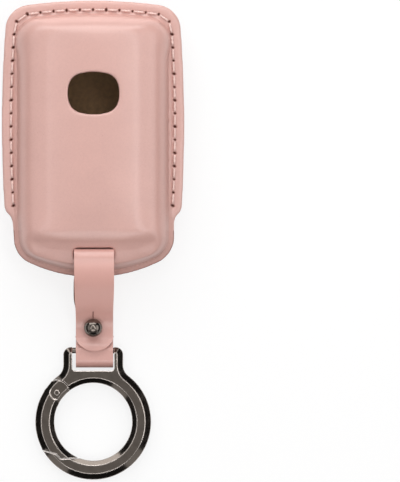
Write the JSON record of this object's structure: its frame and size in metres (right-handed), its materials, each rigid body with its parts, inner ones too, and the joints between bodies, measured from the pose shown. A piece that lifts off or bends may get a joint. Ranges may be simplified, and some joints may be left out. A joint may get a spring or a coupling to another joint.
{
  "type": "key fob cover",
  "caption": "Moulded leather car key cover with a stitched flange, an oval window, a buttoned strap at its open lower end and a metal gate ring on the strap.",
  "frame": {"origin": "middle of the footprint, on the plane that the cover lies on with its back down", "axes": "+Y along the length, from the ring to the case's stitched top edge; +Z out of the front face, through the thickness; +X across the width, to the right of a viewer who looks at the front with the ring below"},
  "size_m": [0.0536, 0.141, 0.0201],
  "materials": {
    "case_leather": "smooth pink leather with a fine grain",
    "strap_leather": "smooth pink leather with a fine grain",
    "lining": "matt dark brown suede",
    "thread": "waxed light pink thread",
    "dark_metal": "polished black nickel",
    "spring_steel": "bright wire"
  },
  "bodies": {
    "case": {"front_shell": "case_leather", "back_shell": "case_leather", "front_lining": "lining", "back_lining": "lining", "seam_thread_front": "thread", "seam_thread_back": "thread", "strap_upper": "strap_leather"},
    "strap": {"strap_flap": "strap_leather", "strap_loop": "strap_leather", "stud_head": "dark_metal", "stud_screw": "dark_metal"},
    "ring": {"ring_frame": "dark_metal"},
    "gate": {"gate": "dark_metal", "gate_pin": "dark_metal", "gate_spring": "spring_steel"}
  },
  "joints": [
    {"name": "strap_swing", "type": "hinge", "parent": "case", "child": "strap", "pos_m": [0, -0.02057, 0.004], "axis": [1, 0, 0], "range_deg": [-45, 45]},
    {"name": "ring_swing", "type": "hinge", "parent": "strap", "child": "ring", "pos_m": [0, -0.03247, 0.00245], "axis": [1, 0, 0], "range_deg": [-90, 90]},
    {"name": "gate_swing", "type": "hinge", "parent": "ring", "child": "gate", "pos_m": [-0.01069, -0.04491, 0.00245], "axis": [0, 0, 1], "range_deg": [0, 40], "stiffness_Nm_per_rad": 0.02, "springref_deg": -22.92, "deforming": ["gate_spring"]}
  ]
}
